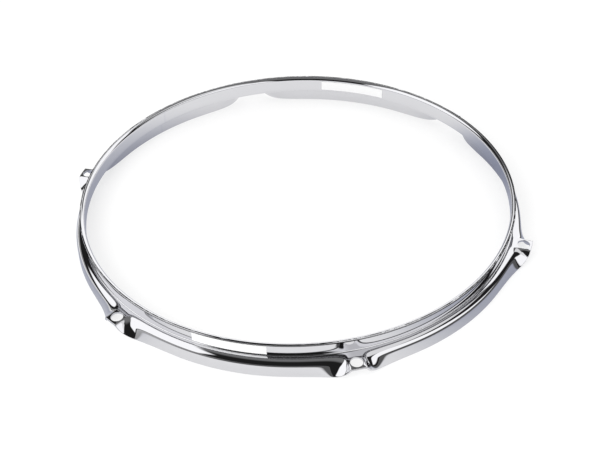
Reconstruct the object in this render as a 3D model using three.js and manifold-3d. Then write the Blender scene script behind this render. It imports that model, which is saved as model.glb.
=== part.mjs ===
// A pressed drum hoop: one steel strip, rolled into a ring and butt welded, with a rolled rim,
// an upright collar, a shoulder over the drum head and a skirt that swings out flat at each ear.
// Millimetres, +Z up, the skirt's lower edge on z = 0, the axis on Z, the middle of one ear on +X.
import * as THREE from "three";
import { mergeVertices } from "three/addons/utils/BufferGeometryUtils.js";
import Module from "manifold-3d";

// Driving sizes of the pressed section, from the rim down to the skirt's lower edge
const SHEET = 1.6;
const COLLAR_INNER_RADIUS = 155.5;
const COLLAR_RISE = 11.7;
const RIM_UNDER_BEND = 0.7;
const RIM_LAND = 0.4;
const COLLAR_FILLET = 1.5;
const SHOULDER_LAND = 0.3;
const SHOULDER_INNER_BEND = 2.8;
const SKIRT_DEPTH = 12.9;

// Driving sizes of the ears and of the rod holes punched in them
const EAR_COUNT = 6;
const EAR_STANDOUT = 10.2;
const EAR_SPREAD = 88.0;
const FLARE_DECAY = 9.2;
const ROD_HOLE = 8.5;
const HOLE_EDGE_MARGIN = 1.65;
const HOLE_SIDE_MARGIN = 1.25;
const PUNCH_OVERRUN = 2.0;

// The butt weld that closes the ring, midway between two ears
const WELD_WIDTH = 2.0;
const WELD_BAY = 2;

// The two blank labels on the collar, one outside and one inside, on opposite sides of the ring
const LABEL_LENGTH = 52.0;
const LABEL_MARGIN = 0.25;
const LABEL_THICKNESS = 0.15;
const LABEL_GLUE = 0.05;
const OUTER_LABEL_BAY = 4;
const INNER_LABEL_BAY = 1;

// How finely the curves are divided
const LIP_STEPS = 2;
const RIM_BEND_STEPS = 3;
const FILLET_STEPS = 3;
const SHOULDER_STEPS = 4;
const FLARE_STEPS = 8;
const FLARE_CROWDING = 1.6;
const BAY_STEPS = 2;
const LABEL_HALF_STEPS = 3;
const HOLE_STEPS = 28;
const LEAST_STEP = 0.05;

// Sizes that follow from the driving ones
const TURN = Math.PI + Math.PI;
const QUARTER = Math.PI / 2;
const HALF_SHEET = SHEET / 2;
const COLLAR_OUTER_RADIUS = COLLAR_INNER_RADIUS + SHEET;
const RIM_BEND = SHEET + RIM_UNDER_BEND;
const RIM_BEND_CENTRE = COLLAR_INNER_RADIUS + RIM_BEND;
const LIP_CENTRE_RADIUS = RIM_BEND_CENTRE + RIM_LAND;
const HEIGHT = SKIRT_DEPTH + COLLAR_RISE;
const RIM_MIDDLE_HEIGHT = HEIGHT - HALF_SHEET;
const COLLAR_TOP = HEIGHT - RIM_BEND;
const COLLAR_FOOT = SKIRT_DEPTH + COLLAR_FILLET;
const COLLAR_FILLET_CENTRE = COLLAR_OUTER_RADIUS + COLLAR_FILLET;
const SHOULDER_MIDDLE_HEIGHT = SKIRT_DEPTH - HALF_SHEET;
const SHOULDER_BEND = SHEET + SHOULDER_INNER_BEND;
const SHOULDER_END = COLLAR_FILLET_CENTRE + SHOULDER_LAND;
const SKIRT_RADIUS = SHOULDER_END + SHOULDER_BEND;
const SHOULDER_BEND_RUN = (SHOULDER_BEND - HALF_SHEET) * QUARTER;
const SKIRT_RUN = SHOULDER_BEND_RUN + SKIRT_DEPTH - SHOULDER_BEND;
const EAR_REACH = SKIRT_RADIUS + EAR_STANDOUT;
const EAR_RUN = EAR_REACH - SHOULDER_END;
const EAR_FLAT = HOLE_SIDE_MARGIN + ROD_HOLE + HOLE_SIDE_MARGIN;
const ROD_CIRCLE_RADIUS = EAR_REACH - HOLE_EDGE_MARGIN - ROD_HOLE / 2;

// Angles round the hoop
const EAR_PITCH = TURN / EAR_COUNT;
const HALF_PITCH = EAR_PITCH / 2;
const FLAT_HALF_ANGLE = EAR_FLAT / 2 / ROD_CIRCLE_RADIUS;
const SPREAD_HALF_ANGLE = EAR_SPREAD / 2 / ROD_CIRCLE_RADIUS;
const FLARE_ANGLE = SPREAD_HALF_ANGLE - FLAT_HALF_ANGLE;
const DECAY_ANGLE = FLARE_DECAY / ROD_CIRCLE_RADIUS;
const LABEL_HALF_ANGLE = LABEL_LENGTH / 2 / COLLAR_OUTER_RADIUS;
const LABEL_END_ANGLE = HALF_PITCH - LABEL_HALF_ANGLE;
const WELD_HALF_ANGLE = WELD_WIDTH / 2 / SKIRT_RADIUS;
const WELD_ANGLE = bayMiddle(WELD_BAY);
const LEAST_ANGLE = LEAST_STEP / EAR_REACH;

function bayMiddle(bay) {
  return EAR_PITCH * bay + HALF_PITCH;
}

// Evenly spaced values from one to another, with the first and without the last
function spaced(from, to, steps) {
  return Array.from({ length: steps }, (_, i) => THREE.MathUtils.lerp(from, to, i / steps));
}

// A stop on the middle of the sheet: its radius and height, and its heading in the r-z plane
function stop(r, z, heading) {
  return { r, z, heading };
}

// Stops along a quarter bend to the left, from the heading it starts with
function quarterBend(centreRadius, centreHeight, radius, heading, steps) {
  return Array.from({ length: steps + 1 }, (_, i) => {
    const now = heading + (QUARTER * i) / steps;
    return stop(centreRadius + radius * Math.sin(now), centreHeight - radius * Math.cos(now), now);
  });
}

// A stop some way along the skirt, whose bend opens out as the skirt swings up towards the ear
function skirtStop(run, swing) {
  const bent = Math.min(run, SHOULDER_BEND_RUN);
  const straight = run - bent;
  const turned = (swing * bent) / SHOULDER_BEND_RUN;
  const radius = swing > 0 ? SHOULDER_BEND_RUN / swing : 0;
  const out = swing > 0 ? radius * Math.sin(turned) : bent;
  const down = swing > 0 ? radius * (1 - Math.cos(turned)) : 0;
  return stop(
    SHOULDER_END + out + straight * Math.cos(turned),
    SHOULDER_MIDDLE_HEIGHT - down - straight * Math.sin(turned),
    TURN - turned,
  );
}

// The closed outline of the pressed sheet for one swing of its skirt, as points of radius and height
function section(swing) {
  const run = THREE.MathUtils.lerp(EAR_RUN, SKIRT_RUN, swing / QUARTER);
  const stops = [
    stop(LIP_CENTRE_RADIUS, RIM_MIDDLE_HEIGHT, Math.PI),
    ...quarterBend(RIM_BEND_CENTRE, COLLAR_TOP, RIM_BEND - HALF_SHEET, Math.PI, RIM_BEND_STEPS),
    ...quarterBend(
      COLLAR_FILLET_CENTRE,
      COLLAR_FOOT,
      COLLAR_FILLET + HALF_SHEET,
      Math.PI + QUARTER,
      FILLET_STEPS,
    ),
    ...spaced(0, SHOULDER_BEND_RUN, SHOULDER_STEPS).map((at) => skirtStop(at, swing)),
    skirtStop(SHOULDER_BEND_RUN, swing),
    skirtStop(run, swing),
  ];
  const face = (side) =>
    stops.map(
      ({ r, z, heading }) =>
        new THREE.Vector2(r - side * Math.sin(heading), z + side * Math.cos(heading)),
    );
  const lip = spaced(QUARTER, -QUARTER, LIP_STEPS)
    .slice(1)
    .map(
      (at) =>
        new THREE.Vector2(
          LIP_CENTRE_RADIUS + HALF_SHEET * Math.cos(at),
          RIM_MIDDLE_HEIGHT + HALF_SHEET * Math.sin(at),
        ),
    );
  return [...face(HALF_SHEET), ...face(-HALF_SHEET).reverse(), ...lip];
}

// The skirt's swing at an angle round the hoop: none on an ear, a quarter turn down between ears.
// Beside the flat it drops at once and then closes ever more slowly, as drawn sheet does.
function skirtSwing(angle) {
  const fromEar = Math.abs(angle - EAR_PITCH * Math.round(angle / EAR_PITCH));
  const beyond = THREE.MathUtils.clamp(fromEar - FLAT_HALF_ANGLE, 0, FLARE_ANGLE);
  const left = Math.exp(-beyond / DECAY_ANGLE);
  const leftAtEnd = Math.exp(-FLARE_ANGLE / DECAY_ANGLE);
  return (QUARTER * (1 - left)) / (1 - leftAtEnd);
}

// The angles from an ear's middle to the middle of the bay at which the sheet is sectioned,
// closer together in the flare, where the skirt drops fast
function halfPitchAngles() {
  return [
    0,
    ...spaced(0, 1, FLARE_STEPS).map((share) => FLAT_HALF_ANGLE + FLARE_ANGLE * share ** FLARE_CROWDING),
    ...spaced(SPREAD_HALF_ANGLE, LABEL_END_ANGLE, BAY_STEPS),
    ...spaced(LABEL_END_ANGLE, HALF_PITCH, LABEL_HALF_STEPS),
    HALF_PITCH,
  ];
}

// A stretch of the ring from one angle to another, with every section that lies between them
function stretch(from, to) {
  const ears = Array.from({ length: EAR_COUNT + WELD_BAY + 1 }, (_, ear) => ear * EAR_PITCH);
  const between = ears
    .flatMap((at) => halfPitchAngles().flatMap((beyond) => [at - beyond, at + beyond]))
    .filter((angle) => angle > from + LEAST_ANGLE && angle < to - LEAST_ANGLE)
    .sort((one, other) => one - other)
    .filter((angle, i, all) => i === 0 || angle - all[i - 1] > LEAST_ANGLE);
  return [from, ...between, to];
}

// A closed body through outlines of radius and height that stand at angles round the axis
function sweep(angles, outlineAt) {
  const outlines = angles.map(outlineAt);
  const count = outlines[0].length;
  const positions = outlines.flatMap((outline, i) =>
    outline.flatMap(({ x, y }) => [x * Math.cos(angles[i]), x * Math.sin(angles[i]), y]),
  );
  const triangles = [];
  for (let i = 0; i + 1 < angles.length; i += 1) {
    for (let j = 0; j < count; j += 1) {
      const next = (j + 1) % count;
      const a = i * count + j;
      const b = i * count + next;
      const c = (i + 1) * count + next;
      const d = (i + 1) * count + j;
      triangles.push(a, b, c, a, c, d);
    }
  }
  const last = (angles.length - 1) * count;
  for (const [a, b, c] of THREE.ShapeUtils.triangulateShape(outlines[0], [])) {
    triangles.push(a, b, c);
  }
  for (const [a, b, c] of THREE.ShapeUtils.triangulateShape(outlines.at(-1), [])) {
    triangles.push(last + a, last + c, last + b);
  }
  const geometry = new THREE.BufferGeometry();
  geometry.setAttribute("position", new THREE.Float32BufferAttribute(positions, 3));
  geometry.setIndex(triangles);
  return geometry;
}

const wasm = await Module();
wasm.setup();

function solidFrom(geometry) {
  const bare = geometry.clone();
  bare.deleteAttribute("normal");
  bare.deleteAttribute("uv");
  const merged = mergeVertices(bare);
  return new wasm.Manifold(
    new wasm.Mesh({
      numProp: 3,
      vertProperties: merged.attributes.position.array,
      triVerts: new Uint32Array(merged.index.array),
    }),
  );
}

function geometryFrom(solid) {
  const mesh = solid.getMesh();
  const geometry = new THREE.BufferGeometry();
  geometry.setAttribute("position", new THREE.BufferAttribute(mesh.vertProperties, mesh.numProp));
  geometry.setIndex(new THREE.BufferAttribute(mesh.triVerts, 1));
  geometry.computeVertexNormals();
  return geometry;
}

// The pressed strip runs from one face of the weld right round to the other
const stripAngles = stretch(WELD_ANGLE + WELD_HALF_ANGLE, WELD_ANGLE - WELD_HALF_ANGLE + TURN);
let strip = solidFrom(sweep(stripAngles, (angle) => section(skirtSwing(angle))));

// A rod hole is punched through the flat of each ear
for (let ear = 0; ear < EAR_COUNT; ear += 1) {
  const depth = SHEET + PUNCH_OVERRUN;
  const punch = new THREE.CylinderGeometry(ROD_HOLE / 2, ROD_HOLE / 2, depth, HOLE_STEPS);
  punch.rotateX(QUARTER);
  punch.translate(ROD_CIRCLE_RADIUS, 0, SHOULDER_MIDDLE_HEIGHT);
  punch.rotateZ(ear * EAR_PITCH);
  strip = strip.subtract(solidFrom(punch));
}

// The weld fills the whole section between the strip's two ends
const weldAngles = [WELD_ANGLE - WELD_HALF_ANGLE, WELD_ANGLE + WELD_HALF_ANGLE];
const weld = sweep(weldAngles, () => section(QUARTER));

// A label follows the collar's face, on a film of glue
function label(bay, innerRadius) {
  const outerRadius = innerRadius + LABEL_THICKNESS;
  const low = COLLAR_FOOT + LABEL_MARGIN;
  const high = COLLAR_TOP - LABEL_MARGIN;
  const outline = [
    new THREE.Vector2(innerRadius, low),
    new THREE.Vector2(innerRadius, high),
    new THREE.Vector2(outerRadius, high),
    new THREE.Vector2(outerRadius, low),
  ];
  const middle = bayMiddle(bay);
  return sweep(stretch(middle - LABEL_HALF_ANGLE, middle + LABEL_HALF_ANGLE), () => outline);
}

// Bright chrome plate, the weld's slightly duller plate, and white label paper
const chrome = { color: 0xd6d7da, roughness: 0.06, metalness: 1 };
const weldChrome = { color: 0xcfd0d4, roughness: 0.12, metalness: 1 };
const labelPaper = { color: 0xf7f7f5, roughness: 0.6, metalness: 0 };

const hoop = new THREE.Group();

function add(name, geometry, look) {
  const mesh = new THREE.Mesh(geometry, new THREE.MeshStandardMaterial(look));
  mesh.name = name;
  hoop.add(mesh);
}

add("pressed_strip", geometryFrom(strip), chrome);
add("butt_weld", weld, weldChrome);
add("outer_label", label(OUTER_LABEL_BAY, COLLAR_OUTER_RADIUS + LABEL_GLUE), labelPaper);
add(
  "inner_label",
  label(INNER_LABEL_BAY, COLLAR_INNER_RADIUS - LABEL_GLUE - LABEL_THICKNESS),
  labelPaper,
);

export default hoop;
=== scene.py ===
# %% [markdown]
# # A pressed drum hoop in bright chrome
# A drum hoop pulls the drum head down over the shell. This one is a single strip of steel sheet, pressed
# to its section, rolled into a ring, butt welded and then polished and plated. The cells below dress the
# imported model: they press the same sheet again with a fine mesh, add the two blank labels that sit on the
# collar, give each piece the finish of the real one, and light it as on a white studio table.

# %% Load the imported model
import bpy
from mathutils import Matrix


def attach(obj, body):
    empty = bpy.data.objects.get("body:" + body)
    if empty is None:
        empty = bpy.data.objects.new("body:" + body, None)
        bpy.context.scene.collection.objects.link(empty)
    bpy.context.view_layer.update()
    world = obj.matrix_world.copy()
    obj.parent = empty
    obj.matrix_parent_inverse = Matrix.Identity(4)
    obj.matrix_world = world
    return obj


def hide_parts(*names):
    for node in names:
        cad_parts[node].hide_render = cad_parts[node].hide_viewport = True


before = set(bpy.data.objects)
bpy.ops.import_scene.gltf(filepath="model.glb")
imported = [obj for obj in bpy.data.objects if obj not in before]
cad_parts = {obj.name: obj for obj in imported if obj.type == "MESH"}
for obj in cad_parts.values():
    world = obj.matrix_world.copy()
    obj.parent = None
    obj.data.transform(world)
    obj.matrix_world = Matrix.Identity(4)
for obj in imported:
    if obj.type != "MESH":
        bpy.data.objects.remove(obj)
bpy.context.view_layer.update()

import math

import bmesh
import bpy
from mathutils import Matrix, Vector

# %% [markdown]
# All lengths are in metres. The hoop's axis is Z, the skirt's lower edge stands on z = 0, and the middle of
# one ear lies on +X. Radii run out from the axis. The outer sizes are those of the model's source, to a
# twentieth of a millimetre. The bends are a little wider here and the ears droop by a few degrees, because
# the reflections in the photograph show that, while the solids keep plain round sizes.

# %% The hoop's sizes
MM = 0.001
SHEET = 1.6 * MM
COLLAR_INNER_RADIUS = 155.5 * MM
COLLAR_RISE = 11.7 * MM
RIM_UNDER_BEND = 1.1 * MM
RIM_LAND = 0.05 * MM
COLLAR_FILLET = 0.9 * MM
SHOULDER_LAND = 0.1 * MM
SHOULDER_INNER_BEND = 3.6 * MM
SKIRT_DEPTH = 12.9 * MM
EAR_COUNT = 6
EAR_STANDOUT = 10.2 * MM
EAR_SPREAD = 88.0 * MM
EAR_DROOP = math.radians(4)
FLARE_DECAY = 9.2 * MM
ROD_HOLE = 8.5 * MM
HOLE_EDGE_MARGIN = 1.65 * MM
HOLE_SIDE_MARGIN = 1.25 * MM
WELD_WIDTH = 2.0 * MM
WELD_BAY = 2
LABEL_LENGTH = 52.0 * MM
LABEL_MARGIN = 0.25 * MM
LABEL_THICKNESS = 0.15 * MM
LABEL_GLUE = 0.05 * MM
OUTER_LABEL_BAY = 4
INNER_LABEL_BAY = 1

QUARTER = math.pi / 2
TURN = 2 * math.pi
HALF_SHEET = SHEET / 2
HEIGHT = SKIRT_DEPTH + COLLAR_RISE
COLLAR_OUTER_RADIUS = COLLAR_INNER_RADIUS + SHEET
RIM_BEND = SHEET + RIM_UNDER_BEND
RIM_RADIUS = COLLAR_INNER_RADIUS + RIM_BEND + RIM_LAND + HALF_SHEET
SHOULDER_BEND = SHEET + SHOULDER_INNER_BEND
SHOULDER_END = COLLAR_OUTER_RADIUS + COLLAR_FILLET + SHOULDER_LAND
SHOULDER_BEND_RUN = (SHOULDER_BEND - HALF_SHEET) * QUARTER
SHOULDER_MIDDLE = SKIRT_DEPTH - HALF_SHEET
SKIRT_RADIUS = SHOULDER_END + SHOULDER_BEND
SKIRT_RUN = SHOULDER_BEND_RUN + SKIRT_DEPTH - SHOULDER_BEND
EAR_REACH = SKIRT_RADIUS + EAR_STANDOUT
EAR_RUN = EAR_REACH - SHOULDER_END
EAR_FLAT = ROD_HOLE + 2 * HOLE_SIDE_MARGIN
ROD_CIRCLE = EAR_REACH - HOLE_EDGE_MARGIN - ROD_HOLE / 2
EAR_PITCH = TURN / EAR_COUNT
FLAT_HALF_ANGLE = EAR_FLAT / 2 / ROD_CIRCLE
FLARE_ANGLE = EAR_SPREAD / 2 / ROD_CIRCLE - FLAT_HALF_ANGLE
DECAY_ANGLE = FLARE_DECAY / ROD_CIRCLE
print("skirt radius, rod circle, ear reach:", SKIRT_RADIUS, ROD_CIRCLE, EAR_REACH)

# %% [markdown]
# ## The camera
# The photograph looks down on the hoop at about 39 degrees through a long lens, with the camera rolled by
# about two degrees. The camera comes first, so that every later cell can be checked against the photograph.
# The lens and its sensor are in millimetres, as on a real camera.

# %% Place the camera
CAMERA_PLACE = Vector((251.05, -763.55, 644.91)) * MM
CAMERA_FORWARD = Vector((-0.24187, 0.73930, -0.62845))
CAMERA_RIGHT = Vector((0.95717, 0.28800, -0.02959))
FOCAL_LENGTH = 83.04
SENSOR_WIDTH = 36.0
NEAREST_SEEN = 10 * MM

camera_data = bpy.data.cameras.new("photo_camera")
camera_data.lens = FOCAL_LENGTH
camera_data.sensor_width = SENSOR_WIDTH
camera_data.sensor_fit = "HORIZONTAL"
camera_data.clip_start = NEAREST_SEEN
camera = bpy.data.objects.new("photo_camera", camera_data)
bpy.context.scene.collection.objects.link(camera)
forward = CAMERA_FORWARD.normalized()
up = CAMERA_RIGHT.cross(forward).normalized()
right = forward.cross(up)
turned = Matrix((right, up, -forward)).transposed()
camera.matrix_world = Matrix.Translation(CAMERA_PLACE) @ turned.to_4x4()
bpy.context.scene.camera = camera
print("camera at", tuple(round(v, 4) for v in CAMERA_PLACE))

# %% [markdown]
# ## The pressed sheet
# The real hoop starts as a flat strip. Rollers and dies bend it to a section, and at each ear a punch keeps
# the skirt from folding down, so that it stays flat and swings into the skirt on both sides like a wing.
# The mesh is made the same way. A line with rounded corners is drawn for the sheet's outer face, with the
# skirt still lying flat, and it is spun round the axis. Then the skirt is pressed down everywhere but on
# the ears.

# %% Draw the section's line and round its corners
BEND_SEGMENTS = 8
TINY = 0.001 * MM
BEND_CUTS = 11
SKIRT_CUTS = 8
COLLAR_CUTS = 3


def section_line(bm):
    """The sheet's outer face as a line in the XZ plane, from the rim's lip to the ear's outer edge."""
    corners = [
        (RIM_RADIUS, HEIGHT - SHEET),
        (COLLAR_OUTER_RADIUS, HEIGHT - SHEET),
        (COLLAR_OUTER_RADIUS, SKIRT_DEPTH),
        (SHOULDER_END, SKIRT_DEPTH),
        (SHOULDER_END + SHOULDER_BEND_RUN, SKIRT_DEPTH),
        (EAR_REACH, SKIRT_DEPTH),
    ]
    verts = [bm.verts.new((radius, 0, height)) for radius, height in corners]
    for pair in zip(verts, verts[1:]):
        bm.edges.new(pair)
    for corner, radius in ((verts[1], RIM_UNDER_BEND), (verts[2], COLLAR_FILLET)):
        bmesh.ops.bevel(
            bm, geom=[corner], offset=radius, offset_type="OFFSET", segments=BEND_SEGMENTS,
            profile=0.5, affect="VERTICES", material=-1,
        )
    for cuts, low, high in (
        (BEND_CUTS, SHOULDER_END, SHOULDER_END + SHOULDER_BEND_RUN),
        (SKIRT_CUTS, SHOULDER_END + SHOULDER_BEND_RUN, EAR_REACH),
    ):
        reach = [low - TINY, high + TINY]
        stretch = [edge for edge in bm.edges if all(reach[0] < vert.co.x < reach[1] for vert in edge.verts)]
        bmesh.ops.subdivide_edges(bm, edges=stretch, cuts=cuts)
    upright = max(bm.edges, key=lambda edge: abs(edge.verts[0].co.z - edge.verts[1].co.z))
    bmesh.ops.subdivide_edges(bm, edges=[upright], cuts=COLLAR_CUTS)


line = bmesh.new()
section_line(line)
print("section line:", len(line.verts), "points")
line.free()

# %% [markdown]
# The swing is the angle by which the skirt has turned down: a few degrees on an ear, a right angle between
# ears. Beside an ear's flat it drops at once and then closes ever more slowly, which is how a drawn sheet
# leaves a punch. A point keeps its share of the way along the sheet while the bend under it tightens.

# %% Press the skirt down
def skirt_swing(angle):
    """How far the skirt has turned down at an angle round the hoop, in radians."""
    from_ear = abs(angle - EAR_PITCH * round(angle / EAR_PITCH))
    beyond = min(max(from_ear - FLAT_HALF_ANGLE, 0), FLARE_ANGLE)
    left = math.exp(-beyond / DECAY_ANGLE)
    left_at_end = math.exp(-FLARE_ANGLE / DECAY_ANGLE)
    return EAR_DROOP + (QUARTER - EAR_DROOP) * (1 - left) / (1 - left_at_end)


def pressed(radius, height, swing):
    """Where a point of the flat skirt comes to lie, as radius and height."""
    run = radius - SHOULDER_END
    if run <= 0 or swing == 0 or height > SKIRT_DEPTH + TINY:
        return radius, height
    side = height - SHOULDER_MIDDLE
    bent = min(run, SHOULDER_BEND_RUN)
    full = EAR_RUN + (SKIRT_RUN - EAR_RUN) * swing / QUARTER
    straight = (run - bent) * (full - SHOULDER_BEND_RUN) / (EAR_RUN - SHOULDER_BEND_RUN)
    turned_by = swing * bent / SHOULDER_BEND_RUN
    bend = SHOULDER_BEND_RUN / swing
    out = bend * math.sin(turned_by) + straight * math.cos(turned_by)
    down = bend * (1 - math.cos(turned_by)) + straight * math.sin(turned_by)
    return (
        SHOULDER_END + out + side * math.sin(turned_by),
        SHOULDER_MIDDLE - down + side * math.cos(turned_by),
    )


def press_skirt(bm):
    """Moves every point of the flat ring to its place on the pressed hoop."""
    for vert in bm.verts:
        angle = math.atan2(vert.co.y, vert.co.x)
        radius = math.hypot(vert.co.x, vert.co.y)
        radius, height = pressed(radius, vert.co.z, skirt_swing(angle))
        vert.co = (radius * math.cos(angle), radius * math.sin(angle), height)


print("swing on an ear:", round(math.degrees(skirt_swing(0)), 1), "degrees")
print("swing between two ears:", round(math.degrees(skirt_swing(EAR_PITCH / 2)), 1), "degrees")

# %% [markdown]
# The spin's steps are even, but the form changes fastest beside the ears, so the steps are crowded together
# there. Between two ears they are wide, and just one of them is as wide as the weld.

# %% Crowd the steps at the ears
RING_STEPS = 768
WELD_ANGLE = WELD_WIDTH / SKIRT_RADIUS
WELD_MIDDLE = EAR_PITCH * WELD_BAY + EAR_PITCH / 2
CROWDING = WELD_ANGLE * RING_STEPS / TURN - 1


def crowd_steps(bm):
    """Moves every point of the spun ring a little towards the nearest ear."""
    for vert in bm.verts:
        angle = math.atan2(vert.co.y, vert.co.x)
        moved = -CROWDING / EAR_COUNT * math.sin(EAR_COUNT * angle)
        vert.co = Matrix.Rotation(moved, 3, "Z") @ vert.co


print("crowding:", round(CROWDING, 3))

# %% [markdown]
# Each ear has one round hole for a tension rod. In the mesh it is punched while the ring is still flat: the
# small faces under the punch are taken out, and the edge that is left is drawn in to a circle. The faces
# taken out reach a little less far outwards, so that a row of them is left at the ear's edge.

# %% Punch the rod holes
PATCH_HALF = 5.4 * MM
PATCH_OUTER_MARGIN = HOLE_EDGE_MARGIN / 4


def punch_hole(bm, ear):
    """Opens a round hole in the flat of one ear."""
    angle = ear * EAR_PITCH
    outward = Vector((math.cos(angle), math.sin(angle), 0))
    along = Vector((-math.sin(angle), math.cos(angle), 0))
    centre = outward * ROD_CIRCLE + Vector((0, 0, SKIRT_DEPTH))
    patch = []
    for face in bm.faces:
        away = face.calc_center_median() - centre
        in_line = abs(away.dot(outward)) < PATCH_HALF - PATCH_OUTER_MARGIN
        if in_line and abs(away.dot(along)) < PATCH_HALF and abs(away.z) < HALF_SHEET:
            patch.append(face)
    around = dict.fromkeys(edge for face in patch for edge in face.edges)
    border = [edge for edge in around if not all(face in patch for face in edge.link_faces)]
    bmesh.ops.delete(bm, geom=patch, context="FACES")
    drawn = bmesh.ops.extrude_edge_only(bm, edges=border)["geom"]
    for vert in drawn:
        if isinstance(vert, bmesh.types.BMVert):
            vert.co = centre + (vert.co - centre).normalized() * ROD_HOLE / 2
    return len(border)


print("rod holes of", round(ROD_HOLE / MM, 2), "mm on a circle of", round(2 * ROD_CIRCLE / MM, 2), "mm")

# %% [markdown]
# Last the face gets its thickness, and its sharp edges are broken: the rim's lip is rounded almost fully,
# and the cut edges of the skirt, the ears and the holes have the small radius that polishing leaves. Some
# mesh tools leave their faces in an order that differs from run to run, so the faces are built anew in a
# fixed order before the sheet is thickened and once more at the end.

# %% Spin, press and thicken the whole ring
EDGE_RADIUS = 0.25 * MM
LIP_ROUND = 0.97
EDGE_SEGMENTS = 3
LIP_SEGMENTS = 4
SHARP = math.radians(60)


def in_fixed_order(bm):
    """The same faces built anew, in an order that is alike in every run."""
    bm.verts.index_update()
    fresh = bmesh.new()
    verts = [fresh.verts.new(vert.co) for vert in bm.verts]
    faces = []
    for face in bm.faces:
        corners = [vert.index for vert in face.verts]
        first = corners.index(min(corners))
        faces.append(corners[first:] + corners[:first])
    for corners in sorted(faces):
        fresh.faces.new([verts[corner] for corner in corners])
    fresh.normal_update()
    bm.free()
    return fresh


def pressed_ring():
    """The whole hoop's sheet as one closed ring with its full thickness."""
    bm = bmesh.new()
    section_line(bm)
    to_start = Matrix.Rotation(WELD_MIDDLE - TURN / RING_STEPS / 2, 3, "Z")
    bmesh.ops.rotate(bm, verts=bm.verts[:], cent=(0, 0, 0), matrix=to_start)
    bmesh.ops.spin(
        bm, geom=bm.verts[:] + bm.edges[:], cent=(0, 0, 0), axis=(0, 0, 1), dvec=(0, 0, 0),
        angle=TURN, steps=RING_STEPS, use_merge=True, use_duplicate=False,
    )
    crowd_steps(bm)
    print("hole edges:", [punch_hole(bm, ear) for ear in range(EAR_COUNT)])
    bm = in_fixed_order(bm)
    press_skirt(bm)
    bmesh.ops.recalc_face_normals(bm, faces=bm.faces[:])
    outward = sum(face.normal.xy.dot(face.calc_center_median().xy) for face in bm.faces)
    if outward < 0:
        bmesh.ops.reverse_faces(bm, faces=bm.faces[:])
    bmesh.ops.solidify(bm, geom=bm.faces[:], thickness=SHEET)
    bmesh.ops.recalc_face_normals(bm, faces=bm.faces[:])
    return bm


def break_edges(bm):
    """Rounds the lip and breaks the other sharp edges."""
    sharp = [edge for edge in bm.edges if edge.calc_face_angle() > SHARP]
    lip = [edge for edge in sharp if edge.verts[0].co.z > HEIGHT - SHEET - EDGE_RADIUS]
    cut = [edge for edge in sharp if edge.verts[0].co.z < HEIGHT - SHEET - EDGE_RADIUS]
    for edges, radius, segments in (
        (lip, HALF_SHEET * LIP_ROUND, LIP_SEGMENTS),
        (cut, EDGE_RADIUS, EDGE_SEGMENTS),
    ):
        bmesh.ops.bevel(
            bm, geom=edges, offset=radius, offset_type="OFFSET", segments=segments,
            profile=0.5, affect="EDGES", material=-1,
        )
    print("lip edges:", len(lip), "cut edges:", len(cut))


ring = pressed_ring()
break_edges(ring)
ring = in_fixed_order(ring)

# %% [markdown]
# On a rolled sheet the broad faces stay flat right up to a narrow bend, so each point's normal is led by
# the broadest faces round it. The normals are stored before the ring is parted, which keeps the joint
# invisible. The faces that close the parted ends are flat, and keep their own normals.

# %% Store the normals and finish a mesh
NORMALS = "sheet_normal"


def store_normals(bm):
    """Gives each point a normal weighed by the areas of its faces."""
    layer = bm.verts.layers.float_vector.new(NORMALS)
    for vert in bm.verts:
        total = Vector()
        for face in vert.link_faces:
            total += face.normal * face.calc_area()
        vert[layer] = total.normalized()
    for face in bm.faces:
        face.smooth = True


def finished(bm, name):
    """Turns a bmesh into an object at the origin, shaded by its stored normals."""
    mesh = bpy.data.meshes.new(name)
    bm.to_mesh(mesh)
    bm.free()
    stored = mesh.attributes[NORMALS].data
    normals = [(0, 0, 0)] * len(mesh.loops)
    for face in mesh.polygons:
        if face.use_smooth:
            for corner in face.loop_indices:
                normals[corner] = stored[mesh.loops[corner].vertex_index].vector[:]
    mesh.normals_split_custom_set(normals)
    mesh.attributes.remove(mesh.attributes[NORMALS])
    piece = bpy.data.objects.new(name, mesh)
    bpy.context.scene.collection.objects.link(piece)
    for axis, letter in enumerate("XYZ"):
        ends = [vert.co[axis] / MM for vert in mesh.vertices]
        print(name, letter, round(min(ends), 2), "to", round(max(ends), 2), "mm")
    print(name, "triangles:", sum(len(face.vertices) - 2 for face in mesh.polygons))
    return piece


store_normals(ring)

# %% [markdown]
# ## The strip and its butt weld
# The strip's two ends meet in a butt weld. It is ground flush and plated with the rest, so on the finished
# hoop it hardly shows. Both pieces are parted from the same ring: the weld is one step of it, and the strip
# is all the others.

# %% Part the ring into the strip and the weld
def in_weld(face):
    """Whether a face of the ring belongs to the weld."""
    centre = face.calc_center_median()
    return abs(math.atan2(centre.y, centre.x) - WELD_MIDDLE) < WELD_ANGLE / 2


def without(faces, bm):
    """Takes the faces out of a ring and closes the two cut ends."""
    bmesh.ops.delete(bm, geom=faces, context="FACES")
    bmesh.ops.holes_fill(bm, edges=[edge for edge in bm.edges if edge.is_boundary], sides=0)
    return bm


weld_ring = ring.copy()
beside_weld = [face for face in weld_ring.faces if not in_weld(face)]
weld = finished(without(beside_weld, weld_ring), "flush_weld")
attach(weld, "root")
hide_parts("butt_weld")
under_weld = [face for face in ring.faces if in_weld(face)]
strip = finished(without(under_weld, ring), "hoop_sheet")
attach(strip, "root")
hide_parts("pressed_strip")
print("weld in the bay at", round(math.degrees(WELD_MIDDLE)), "degrees")

# %% [markdown]
# ## The labels
# Two plain white labels sit on the collar, one outside at the front and one inside at the back. Each is a
# thin paper sheet, glued to the curved face. A short upright line is spun along the collar and thickened.

# %% Make the labels
LABEL_STEPS = 52
LABEL_EDGE = 0.04 * MM
LABEL_EDGE_SEGMENTS = 2
INNER_LABEL_RADIUS = COLLAR_INNER_RADIUS - LABEL_GLUE - LABEL_THICKNESS


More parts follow.
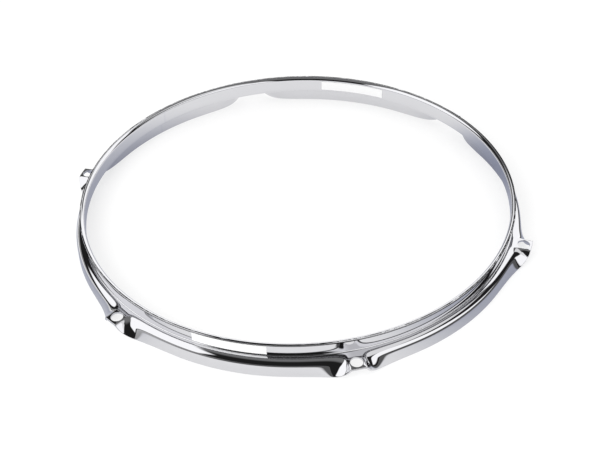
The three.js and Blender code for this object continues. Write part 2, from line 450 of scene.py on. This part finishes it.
def make_label(name, bay, radius):
    """A thin curved sheet on the collar, its inner face on the given radius."""
    middle = EAR_PITCH * bay + EAR_PITCH / 2
    half = LABEL_LENGTH / 2 / COLLAR_OUTER_RADIUS
    low = SKIRT_DEPTH + COLLAR_FILLET + LABEL_MARGIN
    high = HEIGHT - RIM_BEND - LABEL_MARGIN
    bm = bmesh.new()
    ends = [bm.verts.new((radius, 0, height)) for height in (low, high)]
    bm.edges.new(ends)
    to_start = Matrix.Rotation(middle - half, 3, "Z")
    bmesh.ops.rotate(bm, verts=bm.verts[:], cent=(0, 0, 0), matrix=to_start)
    bmesh.ops.spin(
        bm, geom=bm.verts[:] + bm.edges[:], cent=(0, 0, 0), axis=(0, 0, 1), dvec=(0, 0, 0),
        angle=2 * half, steps=LABEL_STEPS, use_merge=False, use_duplicate=False,
    )
    bmesh.ops.recalc_face_normals(bm, faces=bm.faces[:])
    outward = Vector((math.cos(middle), math.sin(middle), 0))
    if bm.faces[:][0].normal.dot(outward) > 0:
        bmesh.ops.reverse_faces(bm, faces=bm.faces[:])
    bmesh.ops.solidify(bm, geom=bm.faces[:], thickness=LABEL_THICKNESS)
    bmesh.ops.recalc_face_normals(bm, faces=bm.faces[:])
    edges = [edge for edge in bm.edges if edge.calc_face_angle() > SHARP]
    bmesh.ops.bevel(
        bm, geom=edges, offset=LABEL_EDGE, offset_type="OFFSET", segments=LABEL_EDGE_SEGMENTS,
        profile=0.5, affect="EDGES", material=-1,
    )
    bm = in_fixed_order(bm)
    store_normals(bm)
    return finished(bm, name)


outer_label = make_label("front_label", OUTER_LABEL_BAY, COLLAR_OUTER_RADIUS + LABEL_GLUE)
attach(outer_label, "root")
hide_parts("outer_label")
inner_label = make_label("back_label", INNER_LABEL_BAY, INNER_LABEL_RADIUS)
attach(inner_label, "root")
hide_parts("inner_label")
print("labels are", round(LABEL_LENGTH / MM), "mm long")

# %% [markdown]
# ## Finishes
# Every colour is written as it would be picked on a screen and turned to linear light by one function. One
# more function adds a node with its settings and links, so that each material reads as a list of nodes.

# %% Helpers for materials
BRIGHTEST = 255
CURVE_START = 0.04045
CURVE_SLOPE = 12.92
CURVE_OFFSET = 0.055
CURVE_POWER = 2.4


def linear(hex_colour):
    """A screen colour such as #D4D4D6 as linear red, green, blue and alpha."""
    colour = []
    for start in (1, 3, 5):
        part = int(hex_colour[start:start + 2], 16) / BRIGHTEST
        if part > CURVE_START:
            colour.append(((part + CURVE_OFFSET) / (1 + CURVE_OFFSET)) ** CURVE_POWER)
        else:
            colour.append(part / CURVE_SLOPE)
    return colour + [1.0]


def add_node(tree, kind, settings=None, inputs=None):
    """Adds a node, sets its properties, and fills or links its inputs."""
    node = tree.nodes.new(kind)
    for key, value in (settings or {}).items():
        setattr(node, key, value)
    for key, value in (inputs or {}).items():
        if isinstance(value, bpy.types.NodeSocket):
            tree.links.new(value, node.inputs[key])
        else:
            node.inputs[key].default_value = value
    return node


def new_material(name):
    """An empty node material with its output, as material, tree and output node."""
    material = bpy.data.materials.new(name)
    material.use_nodes = True
    material.node_tree.nodes.clear()
    output = add_node(material.node_tree, "ShaderNodeOutputMaterial")
    return material, material.node_tree, output


print("middle grey in linear light:", round(linear("#808080")[0], 3))

# %% [markdown]
# Bright chrome is a film of metal thinner than a hair over polished nickel and steel. It is a mirror with a
# faint cool tint that returns about two thirds of the light. What shows that it is pressed sheet and not
# glass is small: a slight waviness from the polishing wheel, about two centimetres from swell to swell, and
# a fine haze.

# %% Bright chrome plate
CHROME_COLOUR = "#D5D5D8"
CHROME_ROUGHNESS = 0.02
HAZE_ROUGHNESS = 0.05
WAVE_LENGTH = 18 * MM
WAVE_HEIGHT = 0.004 * MM
WAVE_DETAIL = 1.0
WAVE_FALLOFF = 0.4
HAZE_LENGTH = 6 * MM
HAZE_DETAIL = 3.0
HAZE_FALLOFF = 0.6
HAZE_LOW = 0.35
HAZE_HIGH = 0.75


def chrome_finish(name, colour, clear, hazy):
    """A plated mirror whose polish varies a little from place to place."""
    material, tree, output = new_material(name)
    place = add_node(tree, "ShaderNodeTexCoord")
    haze = add_node(
        tree, "ShaderNodeTexNoise", {"noise_dimensions": "3D"},
        {"Vector": place.outputs["Object"], "Scale": 1 / HAZE_LENGTH,
         "Detail": HAZE_DETAIL, "Roughness": HAZE_FALLOFF},
    )
    polish = add_node(
        tree, "ShaderNodeMapRange", {},
        {"Value": haze.outputs["Fac"], "From Min": HAZE_LOW, "From Max": HAZE_HIGH,
         "To Min": clear, "To Max": hazy},
    )
    waves = add_node(
        tree, "ShaderNodeTexNoise", {"noise_dimensions": "3D"},
        {"Vector": place.outputs["Object"], "Scale": 1 / WAVE_LENGTH,
         "Detail": WAVE_DETAIL, "Roughness": WAVE_FALLOFF},
    )
    wavy = add_node(
        tree, "ShaderNodeBump", {},
        {"Height": waves.outputs["Fac"], "Strength": 1.0, "Distance": WAVE_HEIGHT},
    )
    shader = add_node(
        tree, "ShaderNodeBsdfPrincipled", {},
        {"Base Color": linear(colour), "Metallic": 1.0, "Roughness": polish.outputs["Result"],
         "Normal": wavy.outputs["Normal"]},
    )
    tree.links.new(shader.outputs["BSDF"], output.inputs["Surface"])
    return material


chrome = chrome_finish("bright_chrome_plate", CHROME_COLOUR, CHROME_ROUGHNESS, HAZE_ROUGHNESS)
strip.data.materials.append(chrome)
print("chrome returns", [round(c, 3) for c in linear(CHROME_COLOUR)[:3]])

# %% [markdown]
# The ground weld takes the same plate, but the steel under it was cast by the welding heat and polishes a
# shade duller.

# %% Plate over the weld
WELD_COLOUR = "#D2D2D6"
WELD_CLEAR = 0.045
WELD_HAZY = 0.10
weld_chrome = chrome_finish("chrome_plate_over_weld", WELD_COLOUR, WELD_CLEAR, WELD_HAZY)
weld.data.materials.append(weld_chrome)
print("plate over the weld returns", [round(c, 3) for c in linear(WELD_COLOUR)[:3]])

# %% [markdown]
# The labels are uncoated white paper. Paper scatters nearly all its light, with almost no gloss, and its
# fibres, about a tenth of a millimetre apart, make a faint fleck. The fleck is drawn at half a millimetre
# here, because the real one is far finer than a pixel.

# %% White label paper
PAPER_COLOUR = "#FDFDFD"
PAPER_SHADE = "#F6F6F6"
PAPER_ROUGHNESS = 0.85
PAPER_GLOSS = 0.2
FIBRE_LENGTH = 0.5 * MM
FIBRE_HEIGHT = 0.01 * MM
FIBRE_STRENGTH = 0.5
FIBRE_DETAIL = 4.0
FIBRE_FALLOFF = 0.65


def paper_finish(name):
    """Matt white paper with a faint fibre fleck."""
    material, tree, output = new_material(name)
    place = add_node(tree, "ShaderNodeTexCoord")
    fibres = add_node(
        tree, "ShaderNodeTexNoise", {"noise_dimensions": "3D"},
        {"Vector": place.outputs["Object"], "Scale": 1 / FIBRE_LENGTH,
         "Detail": FIBRE_DETAIL, "Roughness": FIBRE_FALLOFF},
    )
    fleck = add_node(
        tree, "ShaderNodeMix", {"data_type": "RGBA"},
        {"Factor": fibres.outputs["Fac"], "A": linear(PAPER_COLOUR), "B": linear(PAPER_SHADE)},
    )
    grain = add_node(
        tree, "ShaderNodeBump", {},
        {"Height": fibres.outputs["Fac"], "Strength": FIBRE_STRENGTH, "Distance": FIBRE_HEIGHT},
    )
    shader = add_node(
        tree, "ShaderNodeBsdfPrincipled", {},
        {"Roughness": PAPER_ROUGHNESS, "Specular IOR Level": PAPER_GLOSS,
         "Normal": grain.outputs["Normal"]},
    )
    tree.links.new(fleck.outputs["Result"], shader.inputs["Base Color"])
    tree.links.new(shader.outputs["BSDF"], output.inputs["Surface"])
    return material


paper = paper_finish("white_label_paper")
outer_label.data.materials.append(paper)
inner_label.data.materials.append(paper)
print("paper returns", round(linear(PAPER_COLOUR)[0], 3), "to", round(linear(PAPER_SHADE)[0], 3))

# %% [markdown]
# ## The studio
# Chrome has no colour of its own: it shows the studio. The hoop lies on a round white stand, in a dark
# studio with large softboxes on the left, on the right, overhead and behind. The dark gap behind the camera
# fills the skirt's bend at the front, and the dark strip along the horizon draws a thin black line in every
# bend. Only mirrored rays see that studio, because the paper and the floor are lit evenly by a plain white
# world.
#
# The stand comes first. The chrome sees it with painted light and shade: white in the middle, and a painted
# shade of grey-blue towards its sides, where less light lands on it, with a darker, bluer patch of painted
# shade at the right rear. The floor beyond it is painted dark, as shade, except on the left, where painted
# light stands for the largest softbox beside it. To the camera it is white, with the hoop's own soft
# shadow.
# Its paint returns two fifths of the light, and a glow of three fifths fills that up to white, so the
# shadow stays but is faint.

# %% The white stand
TABLE_RADIUS = 2.5
TABLE_SEGMENTS = 96
TABLE_COLOUR = "#A8A8A8"
TABLE_GLOW = 0.61
STAND_COLOUR = "#FFFFFF"
# Painted shade: grey-blue towards the stand's sides, as the chrome sees it.
PAINTED_SIDE_SHADE_COLOUR = "#B5B8C5"
STAND_SIDE_AXIS = math.radians(11)
STAND_SIDE_START = 71 * MM
STAND_SIDE_END = 156 * MM
# Painted shade: a darker, bluer patch on the stand at the right rear.
SHADE_COLOUR = "#C8CCD8"
SHADE_PLACE = Vector((98, 86, 0)) * MM
SHADE_CORE = 15 * MM
SHADE_REACH = 55 * MM
STAND_RADIUS = 178 * MM
STAND_EDGE = 190 * MM
# Painted shade on the floor beyond the stand, and painted light on its left, beside the largest softbox.
FLOOR_PAINTED_SHADE_COLOUR = "#606060"
FLOOR_LIT_COLOUR = "#FFFFFF"
FLOOR_LIT_SIDE = Vector((-0.996, 0.087, 0))


def mirrored_stand(tree):
    """The stand and the floor beyond it as the chrome sees them, with their light and shade painted in."""
    place = add_node(tree, "ShaderNodeTexCoord").outputs["Object"]
    # Painted shade: the stand turns grey-blue towards its sides, across an axis turned a little from X.
    across = add_node(
        tree, "ShaderNodeVectorMath", {"operation": "DOT_PRODUCT"},
        {0: place, 1: (math.cos(STAND_SIDE_AXIS), math.sin(STAND_SIDE_AXIS), 0)},
    )
    sideways = add_node(tree, "ShaderNodeMath", {"operation": "ABSOLUTE"}, {0: across.outputs["Value"]})
    towards_side = add_node(
        tree, "ShaderNodeMapRange", {"interpolation_type": "SMOOTHSTEP"},
        {"Value": sideways.outputs["Value"], "From Min": STAND_SIDE_START, "From Max": STAND_SIDE_END},
    )
    stand = add_node(
        tree, "ShaderNodeMix", {"data_type": "RGBA"},
        {"Factor": towards_side.outputs["Result"],
         "A": linear(STAND_COLOUR), "B": linear(PAINTED_SIDE_SHADE_COLOUR)},
    )
    # Painted shade: a darker, bluer patch on the stand at the right rear, soft towards its edge.
    from_shade = add_node(
        tree, "ShaderNodeVectorMath", {"operation": "DISTANCE"}, {0: place, 1: SHADE_PLACE},
    )
    shaded = add_node(
        tree, "ShaderNodeMapRange", {"interpolation_type": "SMOOTHSTEP"},
        {"Value": from_shade.outputs["Value"], "From Min": SHADE_REACH, "From Max": SHADE_CORE},
    )
    stand = add_node(
        tree, "ShaderNodeMix", {"data_type": "RGBA", "blend_type": "MULTIPLY"},
        {"Factor": shaded.outputs["Result"], "A": stand.outputs["Result"], "B": linear(SHADE_COLOUR)},
    )
    # Painted shade on the floor beyond the stand, turning to painted light towards the left softbox.
    outward = add_node(tree, "ShaderNodeVectorMath", {"operation": "NORMALIZE"}, {0: place})
    lit = add_node(
        tree, "ShaderNodeVectorMath", {"operation": "DOT_PRODUCT"},
        {0: outward.outputs["Vector"], 1: FLOOR_LIT_SIDE},
    )
    floor = add_node(
        tree, "ShaderNodeMix", {"data_type": "RGBA"},
        {"Factor": lit.outputs["Value"], "A": linear(FLOOR_PAINTED_SHADE_COLOUR), "B": linear(FLOOR_LIT_COLOUR)},
    )
    radius = add_node(tree, "ShaderNodeVectorMath", {"operation": "LENGTH"}, {0: place})
    past_edge = add_node(
        tree, "ShaderNodeMapRange", {"interpolation_type": "SMOOTHSTEP"},
        {"Value": radius.outputs["Value"], "From Min": STAND_RADIUS, "From Max": STAND_EDGE},
    )
    return add_node(
        tree, "ShaderNodeMix", {"data_type": "RGBA"},
        {"Factor": past_edge.outputs["Result"], "A": stand.outputs["Result"], "B": floor.outputs["Result"]},
    )


def table_finish():
    """White paint that glows a little, so it stays white and takes the hoop's shadow; mirrors see painted
    shade.
    """
    material, tree, output = new_material("white_stand_with_painted_shade")
    path = add_node(tree, "ShaderNodeLightPath")
    # Mirrored rays see the painted light and shade of mirrored_stand, the camera sees plain white.
    colour = add_node(
        tree, "ShaderNodeMix", {"data_type": "RGBA"},
        {"Factor": path.outputs["Is Glossy Ray"], "A": linear(STAND_COLOUR),
         "B": mirrored_stand(tree).outputs["Result"]},
    )
    painted = add_node(
        tree, "ShaderNodeMix", {"data_type": "RGBA", "blend_type": "MULTIPLY"},
        {"Factor": 1.0, "A": colour.outputs["Result"], "B": linear(TABLE_COLOUR)},
    )
    matt = add_node(tree, "ShaderNodeBsdfDiffuse", {}, {"Color": painted.outputs["Result"]})
    seen = add_node(
        tree, "ShaderNodeMath", {"operation": "MAXIMUM"},
        {0: path.outputs["Is Camera Ray"], 1: path.outputs["Is Glossy Ray"]},
    )
    seen = add_node(
        tree, "ShaderNodeMath", {"operation": "MAXIMUM"},
        {0: seen.outputs["Value"], 1: path.outputs["Is Transmission Ray"]},
    )
    strength = add_node(
        tree, "ShaderNodeMath", {"operation": "MULTIPLY"}, {0: seen.outputs["Value"], 1: TABLE_GLOW},
    )
    glow = add_node(
        tree, "ShaderNodeEmission", {},
        {"Color": colour.outputs["Result"], "Strength": strength.outputs["Value"]},
    )
    both = add_node(tree, "ShaderNodeAddShader")
    tree.links.new(matt.outputs["BSDF"], both.inputs[0])
    tree.links.new(glow.outputs["Emission"], both.inputs[1])
    tree.links.new(both.outputs["Shader"], output.inputs["Surface"])
    return material


table_mesh = bmesh.new()
bmesh.ops.create_circle(table_mesh, cap_ends=True, radius=TABLE_RADIUS, segments=TABLE_SEGMENTS)
table_data = bpy.data.meshes.new("white_table")
table_mesh.to_mesh(table_data)
table_mesh.free()
table = bpy.data.objects.new("white_table", table_data)
bpy.context.scene.collection.objects.link(table)
table.data.materials.append(table_finish())
print("stand seen in the chrome:", round(STAND_RADIUS / MM), "mm in radius")

# %% [markdown]
# The softboxes are drawn as bright panels on the inside of a dome round the hoop. The dome is about as near
# as real softboxes are, so a panel shifts from one side of the hoop to the other, as it does in the
# photograph. A panel's corners are given as they are seen from the hoop's middle: first how many degrees
# they lie to the right of the camera, as the camera sees it, and then how many degrees above the horizon.
# Each edge is a great circle, so the two sides of an edge are told apart by one dot product. Each edge's
# soft step rises only as high as the step before it, so the panel glows where all its edges are passed.

# %% The panels of the studio
LEFT_BOX = ((-90, 5), (-44, 4), (-32, 60), (-119, 68), (-157, 62), (-133, 45), (-125, 30))
RIGHT_BOX = ((8, 4), (95, 5), (62, 36), (19, 46))
OVERHEAD_BOX = ((17, 28), (88, 46), (110, 42), (127, 69), (52, 70))
REAR_RIGHT_BOX = ((112, 3), (157, 3), (164, 58), (109, 38))
GREY_WALL = ((-103, 3), (-172, 3), (-175, 24))
REAR_WALL = ((-154, 3), (-212, 3), (-179, 55), (-158, 43))
REAR_BOX = ((131, 3), (184, 3), (195, 30), (195, 40), (187, 40))
REAR_TOP_BOX = ((155, 39), (179, 44), (177, 50), (158, 55))
LEFT_LEVEL = 1.42
RIGHT_LEVEL = 1.38
OVERHEAD_LEVEL = 1.0
REAR_LEVEL = 1.42
GREY_LEVEL = 0.43
REAR_WALL_LEVEL = 0.15
PANEL_SOFTNESS = 0.035
CAMERA_AZIMUTH = math.atan2(CAMERA_PLACE.y, CAMERA_PLACE.x)


def towards(to_the_right, up_from_horizon):
    """The direction from the hoop's middle to a point of the studio."""
    azimuth = CAMERA_AZIMUTH + math.radians(to_the_right)
    height = math.radians(up_from_horizon)
    level_way = Vector((math.cos(azimuth), math.sin(azimuth), 0))
    return level_way * math.cos(height) + Vector((0, 0, math.sin(height)))


def add_panel(tree, way, behind, corners, brightness):
    """Puts one softly edged panel in front of what is there, and gives the new level of light."""
    ways = [towards(*corner) for corner in corners]
    middle = sum(ways, Vector())
    inside = 1.0
    for one, other in zip(ways, ways[1:] + ways[:1]):
        edge = one.cross(other).normalized()
        if edge.dot(middle) < 0:
            edge.negate()
        past_edge = add_node(
            tree, "ShaderNodeVectorMath", {"operation": "DOT_PRODUCT"}, {0: way, 1: edge},
        )
        inside = add_node(
            tree, "ShaderNodeMapRange", {"interpolation_type": "SMOOTHSTEP"},
            {"Value": past_edge.outputs["Value"], "From Min": -PANEL_SOFTNESS, "From Max": PANEL_SOFTNESS,
             "To Max": inside},
        ).outputs["Result"]
    return add_node(
        tree, "ShaderNodeMix", {"data_type": "FLOAT"}, {"Factor": inside, "A": behind, "B": brightness},
    ).outputs["Result"]


print("the camera stands at", round(math.degrees(CAMERA_AZIMUTH), 1), "degrees round the hoop")

# %% [markdown]
# The dome glows where a panel lies on it, and it is seen by mirrored rays only. The camera and the matt
# surfaces look through it to the white world. The studio between the panels is nearly black, and its
# ceiling a dim grey.

# %% The dome
DOME_RADIUS = 1.3
DOME_DETAIL = 4
STUDIO_DARK = 0.018
CEILING_GREY = 0.22
CEILING_START = math.sin(math.radians(45))
CEILING_END = math.sin(math.radians(70))


def dome_finish():
    """The dark studio with its panels, as light from the dome's inner face."""
    material, tree, output = new_material("studio_panels")
    place = add_node(tree, "ShaderNodeTexCoord").outputs["Object"]
    outward = add_node(tree, "ShaderNodeVectorMath", {"operation": "NORMALIZE"}, {0: place})
    way = outward.outputs["Vector"]
    parts = add_node(tree, "ShaderNodeSeparateXYZ", {}, {"Vector": way})
    level = add_node(
        tree, "ShaderNodeMapRange", {"interpolation_type": "SMOOTHSTEP"},
        {"Value": parts.outputs["Z"], "From Min": CEILING_START, "From Max": CEILING_END,
         "To Min": STUDIO_DARK, "To Max": CEILING_GREY},
    ).outputs["Result"]
    for corners, brightness in (
        (LEFT_BOX, LEFT_LEVEL),
        (RIGHT_BOX, RIGHT_LEVEL),
        (OVERHEAD_BOX, OVERHEAD_LEVEL),
        (REAR_RIGHT_BOX, RIGHT_LEVEL),
        (GREY_WALL, GREY_LEVEL),
        (REAR_WALL, REAR_WALL_LEVEL),
        (REAR_BOX, REAR_LEVEL),
        (REAR_TOP_BOX, REAR_LEVEL),
    ):
        level = add_panel(tree, way, level, corners, brightness)
    light = add_node(tree, "ShaderNodeEmission", {}, {"Strength": level})
    tree.links.new(light.outputs["Emission"], output.inputs["Surface"])
    return material


dome_mesh = bmesh.new()
bmesh.ops.create_icosphere(dome_mesh, subdivisions=DOME_DETAIL, radius=DOME_RADIUS)
dome_data = bpy.data.meshes.new("studio_dome")
dome_mesh.to_mesh(dome_data)
dome_mesh.free()
dome = bpy.data.objects.new("studio_dome", dome_data)
bpy.context.scene.collection.objects.link(dome)
dome.data.materials.append(dome_finish())
dome.visible_camera = False
dome.visible_diffuse = False
dome.visible_shadow = False
print("dome faces:", len(dome.data.polygons))

# %% [markdown]
# The world gives the same white light from all sides, so that matt surfaces show about the colours that are
# written for them.

# %% The plain light
WORLD_COLOUR = "#FFFFFF"
WORLD_STRENGTH = 1.0
world = bpy.data.worlds.new("plain_white_light")
bpy.context.scene.world = world
world.use_nodes = True
world.node_tree.nodes.clear()
white = add_node(
    world.node_tree, "ShaderNodeBackground", {},
    {"Color": linear(WORLD_COLOUR), "Strength": WORLD_STRENGTH},
)
add_node(world.node_tree, "ShaderNodeOutputWorld", {}, {"Surface": white.outputs["Background"]})
print("world strength:", WORLD_STRENGTH)

# %% [markdown]
# A label stands upright, so half of what lights it is the stand, which gives it less light than the world
# does, and alone it would come out a little grey. One soft lamp in front of the hoop and above it makes up
# for that, and keeps the labels as white as they are written. Mirrored rays don't see the lamp, because the
# softboxes are already on the dome.

# %% The key light
KEY_POWER = 10.5
KEY_SIZE = 0.9
KEY_PLACE = Vector((-0.2, -1.2, 0.85))
key_data = bpy.data.lights.new("soft_key", "AREA")
key_data.shape = "DISK"
key_data.size = KEY_SIZE
key_data.energy = KEY_POWER
key = bpy.data.objects.new("soft_key", key_data)
bpy.context.scene.collection.objects.link(key)
key.location = KEY_PLACE
key.rotation_euler = (-KEY_PLACE).to_track_quat("-Z", "Y").to_euler()
key.visible_glossy = False
key.visible_camera = False
print("key light of", KEY_POWER, "watts,", round(KEY_PLACE.length, 2), "m away")

# %% [markdown]
# The colours were all chosen for the Standard view, which shows them as they are written.

# %% Set the Standard view
bpy.context.scene.view_settings.view_transform = "Standard"
